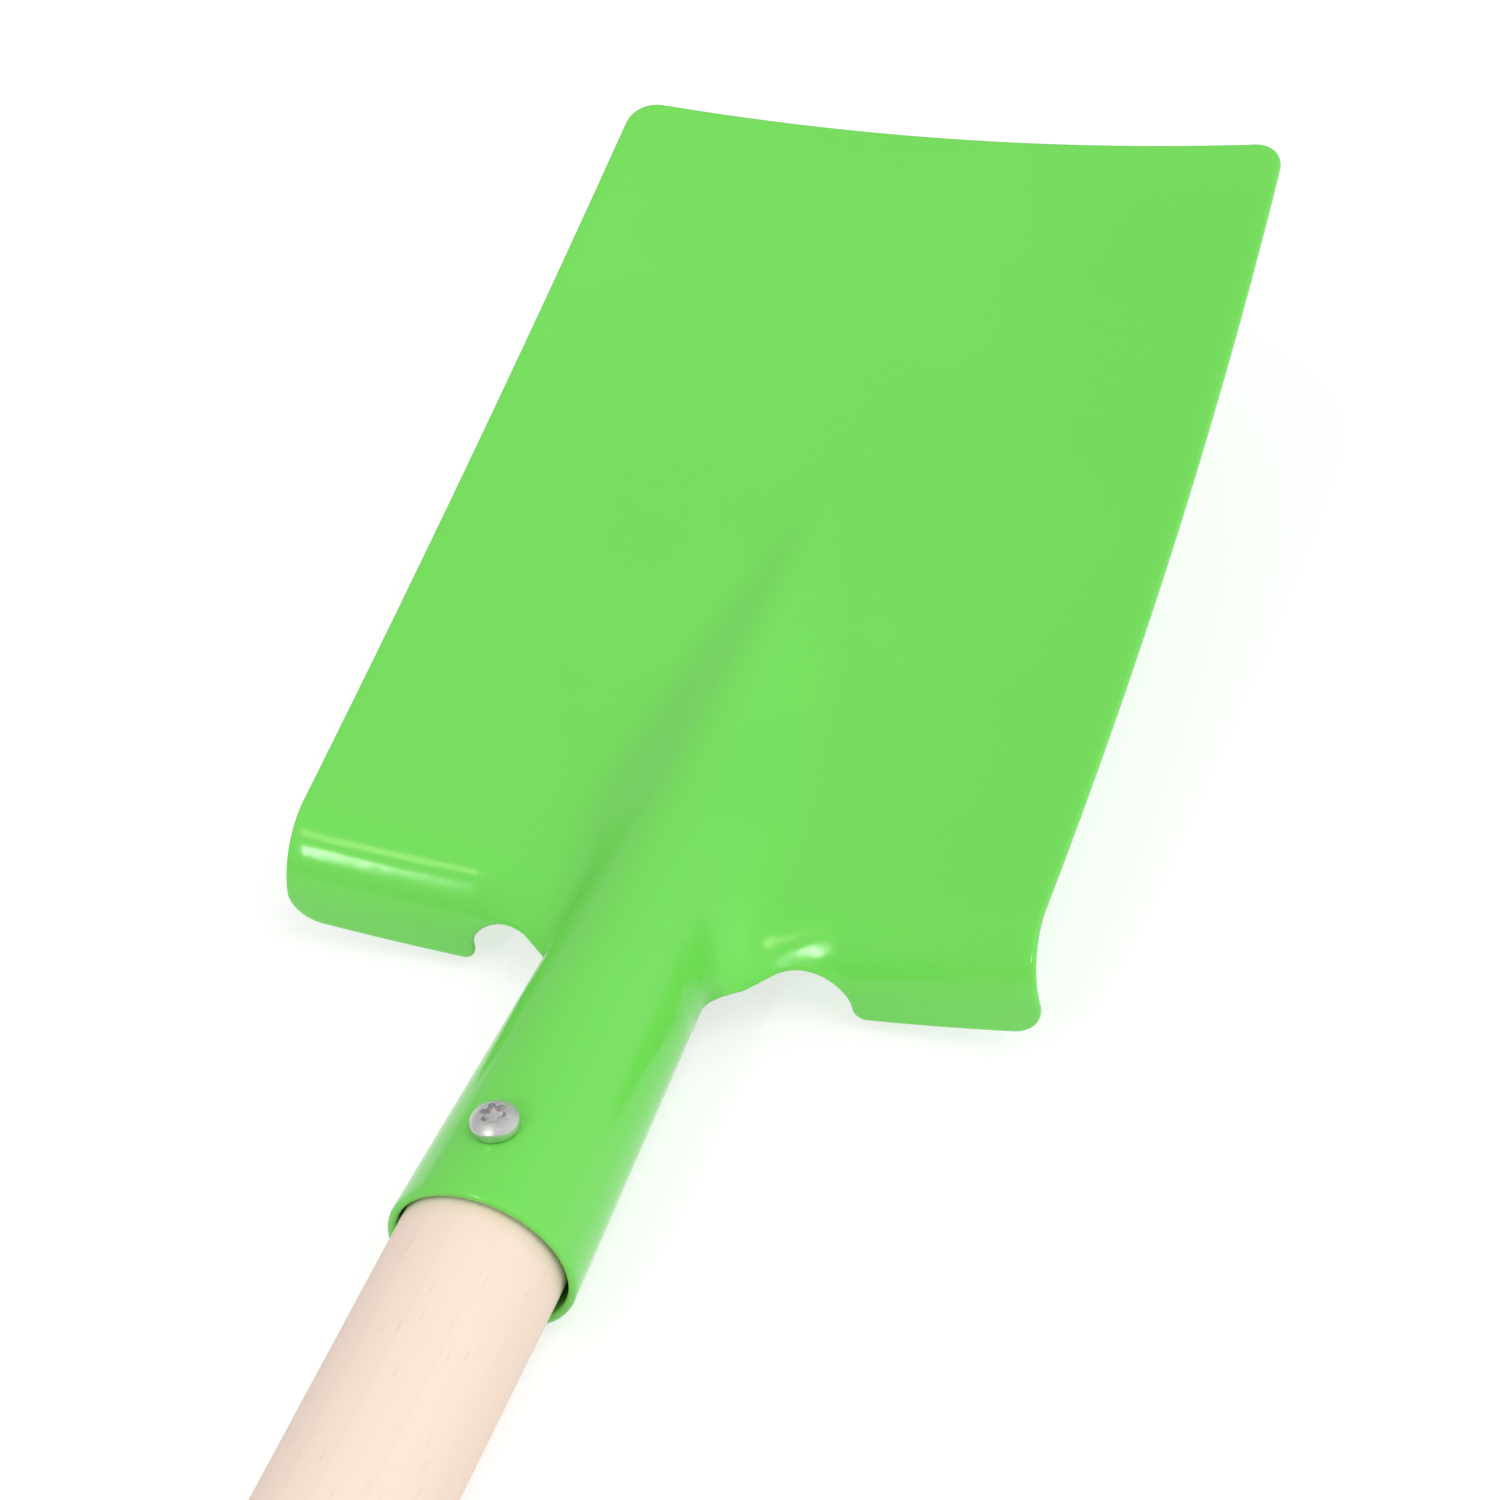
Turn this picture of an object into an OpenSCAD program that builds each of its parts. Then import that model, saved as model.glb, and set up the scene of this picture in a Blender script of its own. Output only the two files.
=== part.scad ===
// Sand shovel for a child: one pressed steel head with a dished blade, two foot treads and a
// rolled socket, screwed to a round beech handle that ends in a wooden cross grip.
// It lies face up on a level floor, tip toward +Y, resting on the socket's mouth and on the grip.

/* [Blade] */
// Length of the blade, from the fold of the treads to the tip
blade_len = 161; // [150:0.5:200]
// Width of the blade at the treads
blade_w = 117.4; // [108:0.1:140]
// Width of the blade at the tip
tip_w = 114.6; // [90:0.1:140]
// How far each side bows out at mid length
side_bow = 1.2; // [0:0.1:4]
// Depth of the dish across the blade at the treads
dish_root = 6; // [3:0.1:9]
// Depth of the dish across the blade at the tip
dish_tip = 4.1; // [1:0.1:9]
// How far the blade sags at mid length
blade_dip = 3.3; // [1:0.1:6]
// Thickness of the steel sheet
sheet = 1.2; // [0.8:0.1:1.6]
// Radius of the two corners at the tip
tip_corner_r = 5; // [2:0.5:15]

/* [Treads] */
// Height of a tread, from the sharp fold line to its lower edge
tread_drop = 14.6; // [13:0.1:24]
// Angle that a tread leans from square to the blade
tread_lean = 10.7; // [4:0.1:20]
// Outer radius of the bend between the blade and a tread
bend_r = 11.2; // [10:0.1:11.8]
// Outer radius of the same bend beside the socket, where it is gentler
root_bend_r = 17.7; // [14:0.1:20]
// Radius of a tread's outer lower corner
tread_corner_r = 5; // [2:0.5:6]
// Radius of a tread's lower corner beside the notch
notch_corner_r = 1.5; // [0.5:0.1:3]
// Width of the notch between the socket and a tread
notch_w = 12.2; // [10:0.1:13]
// Distance from the centre line to the middle of a notch
notch_mid = 23.5; // [23:0.1:28]
// Sheet left between the start of the bend and the top of a notch, measured along the bend
notch_reach = 12.3; // [10:0.1:13]
// Radius of the notch's inner shoulder, beside the socket
notch_shoulder_r = 7.5; // [7:0.1:12]

/* [Ridge] */
// Length of the ridge that runs from the socket into the blade
ridge_len = 82; // [60:1:120]
// Radius of the hollow between the ridge and the blade
ridge_fillet_r = 23; // [16:0.5:26]
// Radius of the same hollow at the fold, where it is narrower
root_fillet_r = 11; // [8:0.1:12]

/* [Socket] */
// Length of the socket, along its axis from the fold line to the mouth
socket_len = 62.9; // [54:0.1:90]
// Outside diameter of the socket at the fold line
socket_root_d = 23; // [21:0.1:24]
// Outside diameter of the socket at its mouth
socket_mouth_d = 27.7; // [27.2:0.1:30]
// Angle that the socket rises from the blade
socket_lean = 10.4; // [6:0.1:16]
// Depth of the socket's axis below the blade's side edges, at the fold line
socket_drop = 7.9; // [7:0.1:9]
// Distance from the fold line to where the socket closes underneath
seam_start = 20; // [18:0.5:21]
// Width of the open seam under the socket
seam_w = 0.8; // [0.4:0.1:2]

/* [Shaft] */
// Length of the whole shovel, measured along the shaft from the tip's level to the grip's back
overall_len = 650; // [500:1:900]
// Diameter of the shaft
shaft_d = 24; // [22:0.1:24.4]
// Distance from the fold line to the shaft's end inside the socket
shaft_start = 23; // [22:0.5:28]
// Clearance between the tapered shaft end and the socket, all round
shaft_gap = 0.4; // [0.1:0.05:0.5]
// Diameter of the neck where the shaft enters the grip
neck_d = 19; // [16:0.5:20]
// Length of the taper from the shaft to the neck
neck_len = 45; // [20:1:80]
// Radius of the small rounding at the shaft's lower end
shaft_edge_r = 1; // [0.5:0.1:2]

/* [Grip] */
// Length of the grip bar
grip_len = 110; // [90:1:140]
// Diameter of the grip bar
grip_d = 28; // [26:0.5:34]
// Radius of the rounding at both ends of the grip bar
grip_end_r = 5; // [2:0.5:8]
// Depth of the bore that takes the neck, from the bar's surface
grip_bore_depth = 16; // [12:0.5:18]
// Clearance between the neck and its bore, all round
neck_gap = 0.1; // [0.05:0.05:0.3]

/* [Socket screw] */
// Distance from the fold line to the screw that holds the socket
screw_station = 50.9; // [40:0.1:54]
// Diameter of the screw's shank
screw_d = 3.5; // [3:0.1:4.5]
// Length of the screw below its head
screw_len = 16; // [10:0.5:18]
// Diameter of the screw's head
screw_head_d = 6.9; // [6:0.1:9]
// Height of the screw's head
screw_head_h = 3.0; // [1.8:0.1:3.2]
// Height of the straight rim under the domed top of the head
screw_rim_h = 1.5; // [0.6:0.1:1.5]
// Distance across the six-lobed recess
recess_d = 3.8; // [2.4:0.1:3.8]
// Depth of the six-lobed recess
recess_depth = 1.3; // [0.8:0.1:1.6]
// Clearance between a screw's shank and its hole, all round
screw_gap = 0.2; // [0.1:0.05:0.4]
// Clearance between the screw's flat head and the round socket under it
screw_seat_gap = 0.1; // [0.05:0.05:0.3]

/* [Grip screw] */
// Diameter of the grip screw's shank
grip_screw_d = 4; // [3:0.1:5]
// Diameter of the grip screw's flat head
grip_screw_head_d = 8; // [7:0.1:10]
// Length of the grip screw with its head
grip_screw_len = 40; // [30:1:50]

/* [Hidden] */

// Smoothness of the turned pieces
$fn = 96;
// Rows and columns of the formed sheet: columns are counted on one side of the centre line
tab_cols = 12;
notch_cols = 8;
tread_cols = 5;
tip_rows = 5;
blade_rows = 20;
bend_rows = 10;
end_rows = 8;
thin_rows = 2;
// How far a cutting shape runs past the surface that it cuts
overrun = 1;
// How far the formed sheet reaches into the wall of the straight socket, and the skin left
// outside and inside it there
joint_len = 3;
joint_run = 1.5;
joint_skin = 0.15;
joint_step_share = 0.2;
// Distance from the fold at which the hollow beside the ridge has its own radius
root_fade = 16;
// Half width of the stretch, under the middle of a notch, in which the bend changes its radius
bend_blend = 2.5;
// How far the sheet's free edge is drawn in between the notch and the seam
edge_waist = 5.5;
// Power that packs the tab's rows closer toward the fold
tab_row_power_share = 1.2;
// How fast the tab goes on rolling as it leaves the fold
tab_lead_share = 0.2;
// How far the shaft sits to the left in the socket, as a share of its clearance there
shaft_shift_share = 0.7;
// Share of the dish's slope that the treads follow when they are folded down
tread_fan_share = 0.6;
// Thickness of the grip screw's flat head edge and how deep the head is sunk
grip_screw_edge_h = 0.5;
grip_screw_sink = 0.6;
// Length of a screw's point, as a share of its diameter
point_share = 1.2;
// Size of a lobe of the recess, as shares of the recess
lobe_pitch_share = 0.36;
lobe_d_share = 0.28;
// How far a screw's hole in the wood runs past the screw's point
pilot_spare = 1;

// The fold
edge_slope = atan(4 * blade_dip / blade_len);
fold_turn = 90 - tread_lean + edge_slope;
fold_tangent = bend_r * tan(fold_turn / 2);
bend_arc = bend_r * fold_turn * PI / 180;
notch_in = notch_mid - notch_w / 2;
shoulder_drop = notch_shoulder_r - sqrt(pow(notch_shoulder_r, 2) - pow(notch_w / 2, 2));

// The socket
socket_root_r = socket_root_d / 2;
socket_mouth_r = socket_mouth_d / 2;
ridge_h = socket_root_r - socket_drop + dish_root;
shaft_r = shaft_d / 2;
neck_r = neck_d / 2;

// Columns and rows of the whole sheet
side_cols = tab_cols + notch_cols + tread_cols;
fold_row = tip_rows + blade_rows + bend_rows;
last_row = fold_row + end_rows + thin_rows;

function lerp(a, b, t) = a + (b - a) * t;
function smooth(t) = t * t * (3 - 2 * t);
function clamp(v, low, high) = min(max(v, low), high);
function unit(v) = v / norm(v);

// Half width of the blade at the distance y from the fold
function half_w(y) = lerp(blade_w, tip_w, y / blade_len) / 2
    + side_bow * 4 * (y / blade_len) * (1 - y / blade_len);
function dish(y) = lerp(dish_root, dish_tip, clamp(y / blade_len, 0, 1));
function sag(y) = -blade_dip * 4 * (y / blade_len) * (1 - y / blade_len);
// Width lost to a rounded corner of radius r, at the distance d from the end
function corner_loss(d, r) = d >= r ? 0 : r - sqrt(max(pow(r, 2) - pow(r - d, 2), 0));

// The blade's side edge as [y, z], where v is the distance along it from the start of the bend:
// positive toward the tip, negative round a bend of radius r and down the tread
bend_start = [fold_tangent, sag(fold_tangent)];
bend_tilt = atan(4 * blade_dip / blade_len * (1 - 2 * fold_tangent / blade_len));
function bend_angle(v, r) = bend_tilt - min(-v / r * 180 / PI, fold_turn);
function bend_point(v, r, a) = bend_start + r * [sin(a) - sin(bend_tilt), cos(a) - cos(bend_tilt)]
    + max(-v - r * fold_turn * PI / 180, 0) * [-cos(a), sin(a)];
function side_line(v, r = bend_r) = v >= 0
    ? [fold_tangent + v, sag(fold_tangent + v)]
    : bend_point(v, r, bend_angle(v, r));

// Radius of the socket and the height of its axis, both also carried on into the ridge
function socket_r(station) = lerp(socket_root_r, socket_mouth_r, station / socket_len);
function ridge_r(y) = socket_r(-y / cos(socket_lean));
function axis_z(y) = -socket_drop - y * tan(socket_lean);

// Height of the ridge above the dish, with the fold's own drop added at the bend
function crest_z(y) = y <= 0 ? axis_z(y) + ridge_r(y)
    : sag(y) - dish(y) + ridge_h * max(1 - y / ridge_len, 0);
function ridge_rise(p) = max(crest_z(p[0]) - (p[1] - dish(p[0])), 0);
function fillet_r(y) = lerp(root_fillet_r, ridge_fillet_r, smooth(clamp(y / root_fade, 0, 1)));
function ridge_turn(p) = acos(clamp(1 - ridge_rise(p) / (ridge_r(p[0]) + fillet_r(p[0])), -1, 1));

// A section across the sheet, from the crest outward: an arc of radius r through the angle turn,
// then a hollow of radius h that turns level again, then straight on; gives [x, depth] at the
// distance s along the sheet
function section(s, r, turn, h) =
    let (
        a = min(s / r * 180 / PI, turn),
        s_hollow = max(s - r * turn * PI / 180, 0),
        b = min(s_hollow / h * 180 / PI, turn),
        s_flat = max(s_hollow - h * turn * PI / 180, 0)
    )
    [r * sin(a) + h * (s_hollow > 0 ? sin(turn) - sin(turn - b) : 0) + s_flat,
        r * (1 - cos(a)) + h * (s_hollow > 0 ? cos(turn - b) - cos(turn) : 0)];

// Distance along such a section at which it reaches x
function section_reach(x, r, turn, h) =
    let (x_arc = r * sin(turn), x_hollow = (r + h) * sin(turn))
    x <= x_arc ? r * asin(x / r) * PI / 180
    : x >= x_hollow ? (r + h) * turn * PI / 180 + x - x_hollow
    : (r * turn + h * (turn - asin(clamp(sin(turn) - (x - x_arc) / h, -1, 1)))) * PI / 180;

// A point of the sheet's face: s along the section, or x across it, on the line p = [y, z]
function face_at_s(s, p) =
    let (
        q = section(s, ridge_r(p[0]), ridge_turn(p), fillet_r(p[0])),
        bowl = dish(p[0]) * pow(q[0] / half_w(max(p[0], 0)), 2)
    )
    [q[0], p[0], p[1] - dish(p[0]) + ridge_rise(p) - q[1] + bowl];
function face_at_x(x, p) =
    let (
        f = face_at_s(section_reach(x, ridge_r(p[0]), ridge_turn(p), fillet_r(p[0])), p),
        w = half_w(max(p[0], 0)),
        fan = 2 * dish_root / w * (x / w) * tread_fan_share,
        fall = max(sag(max(p[0], 0)) - p[1], 0)
    )
    f + [fan * fall, 0, 0];

// The notch's outer side is round: its half width at the distance v round the bend, at least
// half of the full one
function notch_half(v) =
    let (r = notch_w / 2, left = max(notch_reach + r - v, 0))
    sqrt(max(pow(r, 2) - pow(left, 2), pow(r / 2, 2)));
// How far round the bend the sheet reaches in each column before the notch cuts it off
function notch_x(k) = notch_mid - cos(180 * (k - tab_cols) / notch_cols)
    * (k < tab_cols + notch_cols / 2 ? notch_w / 2 : notch_half(bend_arc));
function notch_edge(k) =
    let (dx = notch_x(k) - notch_mid)
    k <= tab_cols ? notch_reach + shoulder_drop
    : k >= tab_cols + notch_cols ? bend_arc
    : dx < 0 ? notch_reach + notch_shoulder_r - sqrt(pow(notch_shoulder_r, 2) - pow(dx, 2))
    : notch_reach + notch_w / 2 - sqrt(pow(notch_w / 2, 2) - pow(dx, 2));
// Radius of the bend at x: gentle beside the socket, sharper across the tread
function bend_r_at(x) =
    lerp(root_bend_r, bend_r, smooth(clamp((x - notch_mid) / (2 * bend_blend) + 1 / 2, 0, 1)));

// Rows from the tip to the fold: the distance v along the side edge
function row_v(j) =
    let (blade_v = blade_len - fold_tangent)
    j <= tip_rows ? blade_v - tip_corner_r * (1 - cos(90 * j / tip_rows))
    : (blade_v - tip_corner_r) * (1 - (j - tip_rows) / blade_rows);
function blade_side(j, p) = half_w(max(p[0], 0))
    - corner_loss(blade_len - p[0], tip_corner_r);
function blade_face(j, k) =
    let (
        bend = max(j - tip_rows - blade_rows, 0) / bend_rows,
        x = notch_x(clamp(k, tab_cols, tab_cols + notch_cols)),
        p = side_line(bend > 0 ? -bend * notch_edge(k) : row_v(j), bend_r_at(x)),
        tab_s = section_reach(notch_in, ridge_r(p[0]), ridge_turn(p), fillet_r(p[0])),
        side_share = max(k - tab_cols - notch_cols, 0) / tread_cols
    )
    k <= tab_cols ? face_at_s(tab_s * k / tab_cols, p)
    : face_at_x(lerp(x, blade_side(j, p), side_share), p);

// Rows of the tread below the bend
tread_flat = tread_drop - fold_tangent;
function tread_face(j, k) =
    let (
        left = max(tread_flat * (1 - (j - fold_row) / end_rows), 0),
        v = bend_arc + tread_flat - left,
        p = side_line(-v),
        inner = notch_mid + notch_half(v) + corner_loss(left, notch_corner_r),
        outer = half_w(0) - corner_loss(left, tread_corner_r)
    )
    face_at_x(lerp(inner, outer, (k - tab_cols - notch_cols) / tread_cols), p);

// Rows of the tab, which is rolled round until it closes into the socket
tab_line = side_line(-notch_reach - shoulder_drop, root_bend_r);
tab_turn = ridge_turn(tab_line);
tab_edge = section_reach(notch_in, ridge_r(tab_line[0]), tab_turn, root_fillet_r);
tab_station = -tab_line[0] / cos(socket_lean);
function tab_face(j, k) =
    let (
        i = j - fold_row,
        t = pow(min(i / end_rows, 1), tab_row_power_share),
        thin = i > end_rows ? joint_skin : 0,
        close = seam_start - joint_run,
        station = i <= end_rows ? lerp(tab_station, close, t)
            : i == end_rows + 1 ? seam_start - joint_step_share * joint_run : seam_start + joint_len,
        tilt = socket_lean * smooth(t),
        r = socket_r(station) - thin,
        edge = lerp(tab_edge, PI * r - seam_w / 4, smooth(t)) - edge_waist * sin(180 * t),
        turn = lerp(tab_turn, 180, smooth(t) + tab_lead_share * t * pow(1 - t, 2)),
        q = section(edge * k / tab_cols, r, turn, root_fillet_r),
        up = r - q[1]
    )
    [q[0], -station * cos(socket_lean) + up * sin(tilt),
        -socket_drop + station * sin(socket_lean) + up * cos(tilt)];

// Which cells of the blank are steel: m counts columns from the left side
function has_cell(j, m) =
    let (k = m < side_cols ? side_cols - 1 - m : m - side_cols)
    j >= 0 && j < last_row && m >= 0 && m < 2 * side_cols
    && (j < fold_row || k < tab_cols || (k >= tab_cols + notch_cols && j < fold_row + end_rows));
function has_point(j, m) = has_cell(j, m) || has_cell(j - 1, m)
    || has_cell(j, m - 1) || has_cell(j - 1, m - 1);

function right_face(j, k) = j <= fold_row ? blade_face(j, k)
    : k <= tab_cols ? tab_face(j, k)
    : tread_face(min(j, fold_row + end_rows), max(k, tab_cols + notch_cols));
right_half = [for (j = [0:last_row]) [for (k = [0:side_cols]) right_face(j, k)]];
function face_point(j, m) =
    let (p = right_half[j][abs(m - side_cols)])
    m < side_cols ? [-p[0], p[1], p[2]] : p;
face_grid = [for (j = [0:last_row]) [for (m = [0:2 * side_cols]) face_point(j, m)]];

// The back of the sheet lies one thickness behind the face, square to it
function linked(j, m, dj, dm) =
    let (
        cells = dj == 0
            ? [has_cell(j, min(m, m + dm)), has_cell(j - 1, min(m, m + dm))]
            : [has_cell(min(j, j + dj), m), has_cell(min(j, j + dj), m - 1)]
    )
    cells[0] || cells[1];
function neighbour(j, m, dj, dm) = linked(j, m, dj, dm)
    ? face_grid[j + dj][m + dm] : face_grid[j][m];
function back_point(j, m) =
    let (
        across = neighbour(j, m, 0, 1) - neighbour(j, m, 0, -1),
        along = neighbour(j, m, 1, 0) - neighbour(j, m, -1, 0),
        thin = j > fold_row + end_rows ? 2 * joint_skin : 0
    )
    face_grid[j][m] + (sheet - thin) * unit(cross(across, along));

sheet_cols = 2 * side_cols + 1;
face_points = [for (j = [0:last_row]) for (m = [0:2 * side_cols]) face_grid[j][m]];
back_points = [for (j = [0:last_row]) for (m = [0:2 * side_cols])
    has_point(j, m) ? back_point(j, m) : face_grid[j][m]];
back = len(face_points);
cells = [for (j = [0:last_row - 1]) for (m = [0:2 * side_cols - 1]) if (has_cell(j, m)) [j, m]];
// The four corners of a cell, clockwise as seen from the face
function corners(c) =
    let (a = c[0] * sheet_cols + c[1])
    [a, a + 1, a + sheet_cols + 1, a + sheet_cols];
function face_pair(c) =
    let (q = corners(c))
    c[1] < side_cols ? [[q[0], q[1], q[3]], [q[1], q[2], q[3]]]
        : [[q[0], q[1], q[2]], [q[0], q[2], q[3]]];
function wall(a, b) = [[b, a, a + back], [b, a + back, b + back]];
function walls(c) =
    let (q = corners(c), j = c[0], m = c[1])
    concat(
        has_cell(j - 1, m) ? [] : wall(q[0], q[1]),
        has_cell(j, m + 1) ? [] : wall(q[1], q[2]),
        has_cell(j + 1, m) ? [] : wall(q[2], q[3]),
        has_cell(j, m - 1) ? [] : wall(q[3], q[0])
    );
sheet_faces = [
    for (c = cells) for (f = face_pair(c)) f,
    for (c = cells) for (f = face_pair(c)) [f[2] + back, f[1] + back, f[0] + back],
    for (c = cells) for (f = walls(c)) f
];

// The grip and the shaft's end, measured along the socket's axis from the fold line
grip_r = grip_d / 2;
tip_reach = blade_len * cos(socket_lean);
grip_station = overall_len - tip_reach - grip_r;
neck_end = grip_station - grip_r + grip_bore_depth;
neck_start = grip_station - grip_r;
taper_r = socket_r(shaft_start) - sheet - shaft_gap;
shaft_shift = shaft_shift_share * shaft_gap;
taper_rate = (socket_mouth_r - socket_root_r) / socket_len;
taper_end = shaft_start + (shaft_r - taper_r) / taper_rate;
screw_tilt = atan(taper_rate);

// The part lies on its grip and on the lower of the treads and the socket's mouth: it is turned
// about X until both touch the floor
function grip_place() = [-grip_station * cos(socket_lean),
    grip_station * sin(socket_lean) - socket_drop];
function tilt_on(p) =
    let (d = grip_place() - p)
    180 - asin(grip_r / norm(d)) - atan2(d[1], d[0]);
function height_of(p, tilt) = p[0] * sin(tilt) + p[1] * cos(tilt);
tread_feet = [for (k = [tab_cols + notch_cols:side_cols])
    for (p = [face_point(fold_row + end_rows, side_cols + k),
        back_point(fold_row + end_rows, side_cols + k)]) [p[1], p[2]]];
mouth_foot = [-socket_len * cos(socket_lean) - socket_mouth_r * sin(socket_lean),
    socket_len * sin(socket_lean) - socket_drop - socket_mouth_r * cos(socket_lean)];
feet = concat([mouth_foot], tread_feet);
first_tilt = tilt_on(mouth_foot);
foot_heights = [for (p = feet) height_of(p, first_tilt)];
foot = feet[search(min(foot_heights), foot_heights)[0]];
rest_tilt = tilt_on(foot);
front_y = blade_len * cos(rest_tilt) + (dish_tip + sheet) * sin(rest_tilt);
back_y = grip_place()[0] * cos(rest_tilt) - grip_place()[1] * sin(rest_tilt) - grip_r;

module at_rest() {
    translate([0, -(front_y + back_y) / 2, -height_of(foot, rest_tilt)])
        rotate([rest_tilt, 0, 0])
            children();
}

// Puts a shape that stands on +Z at a station of the socket's axis, pointing to the grip
module on_axis(station) {
    translate([0, 0, -socket_drop])
        rotate([90 - socket_lean, 0, 0])
            translate([0, 0, station])
                children();
}

module straight_socket() {
    run = socket_len - seam_start;
    inner_rate = taper_rate * overrun;
    on_axis(seam_start)
        difference() {
            cylinder(h = run, r1 = socket_r(seam_start), r2 = socket_mouth_r);
            translate([0, 0, -overrun])
                cylinder(h = run + 2 * overrun, r1 = socket_r(seam_start) - sheet - inner_rate,
                    r2 = socket_mouth_r - sheet + inner_rate);
        }
}

module seam_cut() {
    on_axis(seam_start - joint_run)
        translate([-seam_w / 2, -socket_mouth_r - overrun, 0])
            cube([seam_w, socket_mouth_r, socket_len]);
}

// Places a shape so that +Z leaves the socket's front, square to its wall, at the screw
module at_socket_screw(lift) {
    on_axis(screw_station)
        rotate([-90 - screw_tilt, 0, 0])
            translate([0, 0, (socket_r(screw_station) + lift) * cos(screw_tilt)])
                children();
}

module blade_head() {
    color("limegreen")
        at_rest()
            difference() {
                union() {
                    polyhedron(points = concat(face_points, back_points), faces = sheet_faces,
                        convexity = 8);
                    straight_socket();
                }
                seam_cut();
                at_socket_screw(-screw_len / 2)
                    cylinder(h = screw_len, r = screw_d / 2 + screw_gap);
            }
}

module lobed_recess() {
    linear_extrude(height = recess_depth + overrun)
        union() {
            circle(d = recess_d - lobe_d_share * recess_d);
            for (a = [0:60:300])
                rotate(a)
                    translate([recess_d * lobe_pitch_share, 0])
                        circle(d = recess_d * lobe_d_share);
        }
}

// Profile of the pan head: a straight rim under a shallow dome
dome_h = screw_head_h - screw_rim_h;
dome_r = (pow(screw_head_d / 2, 2) + pow(dome_h, 2)) / (2 * dome_h);
module pan_head() {
    union() {
        cylinder(h = screw_rim_h, d = screw_head_d);
        translate([0, 0, screw_rim_h])
            intersection() {
                translate([0, 0, dome_h - dome_r])
                    sphere(r = dome_r);
                cylinder(h = dome_h, d = screw_head_d);
            }
    }
}

module wood_screw_shank(d, length) {
    point = d * point_share;
    translate([0, 0, -length + point])
        cylinder(h = length - point, d = d);
    translate([0, 0, -length])
        cylinder(h = point, r1 = 0, r2 = d / 2);
}

module socket_screw() {
    color("silver")
        at_rest()
            at_socket_screw(screw_seat_gap)
                difference() {
                    union() {
                        pan_head();
                        wood_screw_shank(screw_d, screw_len);
                    }
                    translate([0, 0, screw_head_h - recess_depth])
                        lobed_recess();
                }
}

// The shaft's outline as [radius, station], from its lower end to the end of its neck
module shaft_outline() {
    polygon([
        [0, shaft_start],
        [taper_r - shaft_edge_r, shaft_start],
        [taper_r, shaft_start + shaft_edge_r],
        [shaft_r, taper_end],
        [shaft_r, neck_start - neck_len],
        [neck_r, neck_start],
        [neck_r, neck_end],
        [0, neck_end]
    ]);
}

module shaft() {
    color("wheat")
        at_rest()
            difference() {
                translate([-shaft_shift, 0, 0])
                    on_axis(0)
                        rotate_extrude()
                            shaft_outline();
                at_socket_screw(-screw_len - pilot_spare)
                    cylinder(h = screw_len + pilot_spare, r = screw_d / 2 + screw_gap);
                on_axis(grip_station + grip_r - grip_screw_sink - grip_screw_len - pilot_spare)
                    cylinder(h = grip_screw_len, r = grip_screw_d / 2 + screw_gap);
            }
}

module grip_bar() {
    half = grip_len / 2;
    sink_r = grip_screw_head_d / 2;
    shank_r = grip_screw_d / 2;
    cone_station = grip_station + grip_r - grip_screw_sink - grip_screw_edge_h
        - (sink_r - shank_r) - screw_gap;
    color("burlywood")
        at_rest()
            difference() {
                on_axis(grip_station)
                    rotate([0, 90, 0])
                        rotate_extrude()
                            union() {
                                translate([0, -half])
                                    square([grip_r - grip_end_r, grip_len]);
                                translate([0, -half + grip_end_r])
                                    square([grip_r, grip_len - 2 * grip_end_r]);
                                for (end = [-1, 1])
                                    translate([grip_r - grip_end_r, end * (half - grip_end_r)])
                                        circle(r = grip_end_r);
                            }
                translate([-shaft_shift, 0, 0])
                    on_axis(neck_start - overrun)
                        cylinder(h = grip_bore_depth + overrun + neck_gap, r = neck_r + neck_gap);
                on_axis(neck_start)
                    cylinder(h = grip_d + overrun, r = shank_r + screw_gap);
                on_axis(cone_station)
                    cylinder(h = sink_r - shank_r, r1 = shank_r + screw_gap,
                        r2 = sink_r + screw_gap);
                on_axis(cone_station + sink_r - shank_r)
                    cylinder(h = grip_screw_edge_h + grip_screw_sink + screw_gap + overrun,
                        r = sink_r + screw_gap);
            }
}

module grip_screw() {
    sink_r = grip_screw_head_d / 2;
    cone_h = sink_r - grip_screw_d / 2;
    color("silver")
        at_rest()
            on_axis(grip_station + grip_r - grip_screw_sink)
                difference() {
                    union() {
                        translate([0, 0, -grip_screw_edge_h])
                            cylinder(h = grip_screw_edge_h, r = sink_r);
                        translate([0, 0, -grip_screw_edge_h - cone_h])
                            cylinder(h = cone_h, r1 = grip_screw_d / 2, r2 = sink_r);
                        wood_screw_shank(grip_screw_d, grip_screw_len);
                    }
                    translate([0, 0, -recess_depth])
                        lobed_recess();
                }
}

blade_head();
socket_screw();
shaft();
grip_bar();
grip_screw();
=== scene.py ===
# %% [markdown]
# # A child's sand shovel
# The shovel is one sheet of steel, pressed and rolled into a blade with two foot treads and a
# socket, on a round beech handle with a cross grip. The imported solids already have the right
# sizes, so they are loaded first and everything else is built around them.

import math

import bmesh
import bpy
from mathutils import Matrix, Quaternion, Vector


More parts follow.
